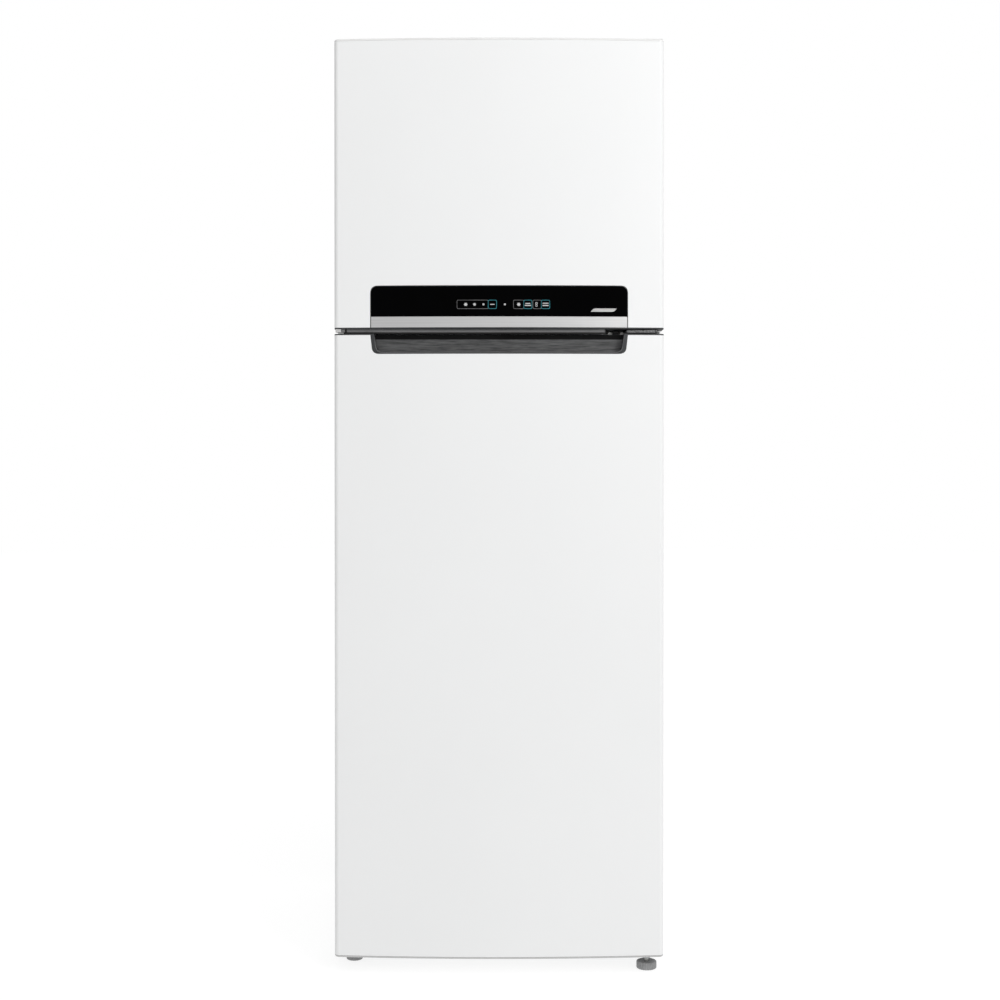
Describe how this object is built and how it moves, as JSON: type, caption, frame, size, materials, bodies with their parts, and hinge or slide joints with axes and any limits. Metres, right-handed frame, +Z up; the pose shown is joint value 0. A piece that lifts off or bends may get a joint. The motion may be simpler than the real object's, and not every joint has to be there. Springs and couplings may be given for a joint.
{
  "type": "top freezer refrigerator",
  "caption": "Free-standing white refrigerator with a freezer door above a fridge door, a dark glass control strip, a recessed grip, shelves, drawers and door bins.",
  "frame": {"origin": "on the floor, under the centre of the whole object's box", "axes": "+Z up; the doors face -Y; +X is to the right of someone facing the doors"},
  "size_m": [0.6, 0.64, 1.7165],
  "materials": {
    "white_steel": "gloss",
    "white_plastic": "satin",
    "liner_white": "satin",
    "dark_plastic": "satin",
    "black_glass": "gloss",
    "silver_strip": "brushed",
    "grey_steel": "satin",
    "plain_steel": "satin",
    "foam": "matte",
    "gasket_rubber": "matte",
    "clear_plastic": "gloss",
    "shelf_glass": "gloss",
    "black_steel": "satin",
    "bare_aluminium": "satin",
    "black_plastic": "matte",
    "foot_grey": "matte"
  },
  "bodies": {
    "cabinet": {"back_panel": "grey_steel", "bottom_deck": "grey_steel", "bottom_hinge_bracket": "grey_steel", "compressor": "black_steel", "compressor_base": "grey_steel", "cord_gland": "black_plastic", "crisper_cover": "shelf_glass", "drain_pan": "black_plastic", "evaporator": "bare_aluminium", "fan_motor": "black_plastic", "foam_core": "foam", "freezer_duct_cover": "liner_white", "freezer_liner": "liner_white", "freezer_shelf": "shelf_glass", "fridge_air_duct": "liner_white", "fridge_liner": "liner_white", "ice_maker_frame": "white_plastic", "light_switch": "white_plastic", "middle_hinge_bracket": "black_steel", "mullion_cover": "grey_steel", "outer_case": "white_steel", "rear_roller_axle": "plain_steel", "shelf_lower": "shelf_glass", "shelf_middle": "shelf_glass", "shelf_upper": "shelf_glass", "top_hinge_bracket": "grey_steel", "top_hinge_cover": "white_plastic"},
    "freezer_door": {"freezer_door_skin": "white_steel", "freezer_door_top_cap": "white_plastic", "freezer_door_bottom_cap": "dark_plastic", "freezer_door_foam": "foam", "freezer_door_liner": "liner_white", "freezer_door_gasket": "gasket_rubber", "handle_strip": "silver_strip", "control_panel_glass": "black_glass", "freezer_bin_lower": "clear_plastic", "freezer_bin_upper": "clear_plastic"},
    "fridge_door": {"fridge_door_skin": "white_steel", "fridge_door_top_cap": "dark_plastic", "fridge_door_bottom_cap": "white_plastic", "fridge_door_foam": "foam", "fridge_door_liner": "liner_white", "fridge_door_gasket": "gasket_rubber", "fridge_bin_lower": "clear_plastic", "fridge_bin_middle": "clear_plastic", "fridge_bin_upper": "clear_plastic"},
    "crisper": {"crisper_drawer": "clear_plastic"},
    "chiller": {"chiller_drawer": "clear_plastic"},
    "vent_slide": {"humidity_slider": "white_plastic"},
    "ice_bin": {"ice_box": "clear_plastic"},
    "ice_twister": {"ice_tray": "white_plastic"},
    "air_dial": {"air_knob": "white_plastic"},
    "fan": {"fan_blade": "liner_white"},
    "light_plunger": {"light_switch_plunger": "white_plastic"},
    "roller_left": {"rear_roller_left": "black_plastic"},
    "roller_right": {"rear_roller_right": "black_plastic"},
    "foot_left": {"left_foot_pad": "foot_grey", "left_foot_stud": "plain_steel"},
    "foot_right": {"right_foot_pad": "foot_grey", "right_foot_stud": "plain_steel"}
  },
  "joints": [
    {"name": "freezer_door_hinge", "type": "hinge", "parent": "cabinet", "child": "freezer_door", "pos_m": [0.284, -0.272, 1.43], "axis": [0, 0, 1], "range_deg": [0, 130]},
    {"name": "fridge_door_hinge", "type": "hinge", "parent": "cabinet", "child": "fridge_door", "pos_m": [0.284, -0.272, 0.6], "axis": [0, 0, 1], "range_deg": [0, 130]},
    {"name": "crisper_slide", "type": "slide", "parent": "cabinet", "child": "crisper", "axis": [0, -1, 0], "range_m": [0, 0.195]},
    {"name": "chiller_slide", "type": "slide", "parent": "cabinet", "child": "chiller", "axis": [0, -1, 0], "range_m": [0, 0.262]},
    {"name": "vent_slide_travel", "type": "slide", "parent": "crisper", "child": "vent_slide", "axis": [1, 0, 0], "range_m": [-0.03, 0.03]},
    {"name": "ice_bin_slide", "type": "slide", "parent": "cabinet", "child": "ice_bin", "axis": [0, -1, 0], "range_m": [0, 0.171]},
    {"name": "ice_tray_twist", "type": "hinge", "parent": "cabinet", "child": "ice_twister", "pos_m": [-0.151, -0.034, 1.352], "axis": [0, 1, 0], "range_deg": [0, 150], "stiffness_Nm_per_rad": 0.15},
    {"name": "air_dial_turn", "type": "hinge", "parent": "cabinet", "child": "air_dial", "pos_m": [0.15, 0.22, 1.53], "axis": [0, 1, 0], "range_deg": [-60, 60]},
    {"name": "fan_spin", "type": "hinge", "parent": "cabinet", "child": "fan", "pos_m": [0, 0.235, 1.5], "axis": [0, 1, 0], "continuous": true},
    {"name": "light_plunger_slide", "type": "slide", "parent": "cabinet", "child": "light_plunger", "axis": [0, -1, 0], "range_m": [0, 0.006]},
    {"name": "rear_roller_left_spin", "type": "hinge", "parent": "cabinet", "child": "roller_left", "pos_m": [-0.262, 0.29, 0.018], "axis": [1, 0, 0], "continuous": true},
    {"name": "rear_roller_right_spin", "type": "hinge", "parent": "cabinet", "child": "roller_right", "pos_m": [0.262, 0.29, 0.018], "axis": [1, 0, 0], "continuous": true},
    {"name": "left_foot_level", "type": "slide", "parent": "cabinet", "child": "foot_left", "axis": [0, 0, -1], "range_m": [0, 0.008]},
    {"name": "right_foot_level", "type": "slide", "parent": "cabinet", "child": "foot_right", "axis": [0, 0, -1], "range_m": [0, 0.008]}
  ],
  "couplings": [
    {"joint": "crisper_slide", "follows": "fridge_door_hinge", "m_per_rad": 0.085},
    {"joint": "chiller_slide", "follows": "fridge_door_hinge", "m_per_rad": 0.115},
    {"joint": "light_plunger_slide", "follows": "fridge_door_hinge", "m_per_rad": 0.0026},
    {"joint": "ice_bin_slide", "follows": "freezer_door_hinge", "m_per_rad": 0.075}
  ]
}
